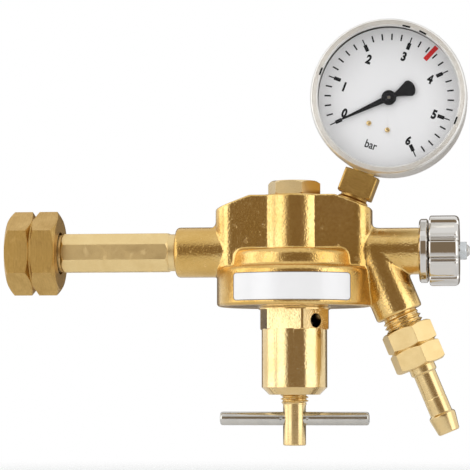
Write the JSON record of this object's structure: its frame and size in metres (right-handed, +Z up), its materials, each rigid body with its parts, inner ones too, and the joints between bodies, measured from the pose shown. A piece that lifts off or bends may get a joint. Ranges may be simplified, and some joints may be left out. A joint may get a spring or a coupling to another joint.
{
  "type": "propane regulator",
  "caption": "Forged brass gas pressure regulator: union nut inlet, spring bonnet with T-bar screw, dial gauge, shut-off valve and slanted hose tail",
  "frame": {"origin": "middle of the inlet seal's front face, where the regulator meets the cylinder valve", "axes": "+X along the inlet stem into the regulator, +Z up, the dial and label face -Y"},
  "size_m": [0.1892, 0.0641, 0.1716],
  "materials": {
    "forged_brass": "polished forging with satin sides",
    "turned_brass": "bright turned",
    "satin_brass": "dull and slightly tarnished",
    "sintered_bronze": "porous",
    "plated_steel": "bright plate",
    "plain_steel": "satin",
    "case_steel": "satin",
    "black_rubber": "matt",
    "seal_fibre": "matt",
    "white_enamel": "satin white",
    "black_enamel": "satin black",
    "clear_window": "clear"
  },
  "bodies": {
    "regulator": {"inlet_stem": "turned_brass", "inlet_seal": "black_rubber", "inlet_filter": "sintered_bronze", "filter_clip": "plain_steel", "body": "forged_brass", "valve_seat": "turned_brass", "valve_cap": "turned_brass", "cap_seal": "seal_fibre", "poppet_spring": "plain_steel", "diaphragm": "black_rubber", "bonnet": "forged_brass", "main_spring": "plain_steel", "label_plate": "white_enamel", "gauge_socket": "satin_brass", "gauge_case": "case_steel", "gauge_bezel": "case_steel", "gauge_window": "clear_window", "gauge_dial": "white_enamel", "dial_screw_left": "turned_brass", "dial_screw_right": "turned_brass", "gauge_movement": "turned_brass", "bourdon_tube": "turned_brass", "valve_collar": "plated_steel", "spindle_o_ring": "black_rubber", "hose_nut": "satin_brass", "hose_tail": "turned_brass"},
    "inlet_nut": {"inlet_union_nut": "satin_brass"},
    "lower_spring_seat": {"spring_seat": "plain_steel"},
    "screw_and_bar": {"adjusting_screw": "turned_brass", "tommy_bar": "plain_steel"},
    "diaphragm_plates": {"diaphragm_plate": "plain_steel", "diaphragm_button": "turned_brass"},
    "poppet_and_pad": {"poppet": "turned_brass", "poppet_pad": "black_rubber"},
    "shutoff_plug": {"valve_plug": "black_rubber"},
    "spindle_and_knob": {"valve_spindle": "plain_steel", "knob": "plated_steel", "knob_nut": "plated_steel"},
    "pointer_and_arbor": {"gauge_pointer": "black_enamel", "pointer_arbor": "plain_steel"}
  },
  "joints": [
    {"name": "inlet_nut_spin", "type": "hinge", "parent": "regulator", "child": "inlet_nut", "pos_m": [0, 0, 0], "axis": [1, 0, 0], "continuous": true},
    {"name": "screw_travel", "type": "slide", "parent": "regulator", "child": "lower_spring_seat", "axis": [0, 0, 1], "range_m": [0, 0.00601], "deforming": ["main_spring"]},
    {"name": "screw_turn", "type": "hinge", "parent": "lower_spring_seat", "child": "screw_and_bar", "pos_m": [0.106, 0, -0.0679], "axis": [0, 0, 1], "range_deg": [0, 1440]},
    {"name": "diaphragm_lift", "type": "slide", "parent": "regulator", "child": "diaphragm_plates", "axis": [0, 0, 1], "range_m": [0, 0.0008], "deforming": ["diaphragm"]},
    {"name": "poppet_lift", "type": "slide", "parent": "regulator", "child": "poppet_and_pad", "axis": [0, 0, 1], "range_m": [0, 0.00081], "deforming": ["poppet_spring"]},
    {"name": "plug_travel", "type": "slide", "parent": "regulator", "child": "shutoff_plug", "axis": [1, 0, 0], "range_m": [0, 0.00251]},
    {"name": "knob_turn", "type": "hinge", "parent": "shutoff_plug", "child": "spindle_and_knob", "pos_m": [0.1612, 0, 0], "axis": [1, 0, 0], "range_deg": [0, 720]},
    {"name": "pointer_turn", "type": "hinge", "parent": "regulator", "child": "pointer_and_arbor", "pos_m": [0.14554, -0.0114, 0.06132], "axis": [0, 1, 0], "range_deg": [0, 270], "stiffness_Nm_per_rad": 0.0001}
  ],
  "couplings": [
    {"joint": "screw_travel", "follows": "screw_turn", "m_per_rad": 0.00023873},
    {"joint": "plug_travel", "follows": "knob_turn", "m_per_rad": 0.00019894},
    {"joint": "poppet_lift", "follows": "diaphragm_lift", "ratio": 1}
  ]
}
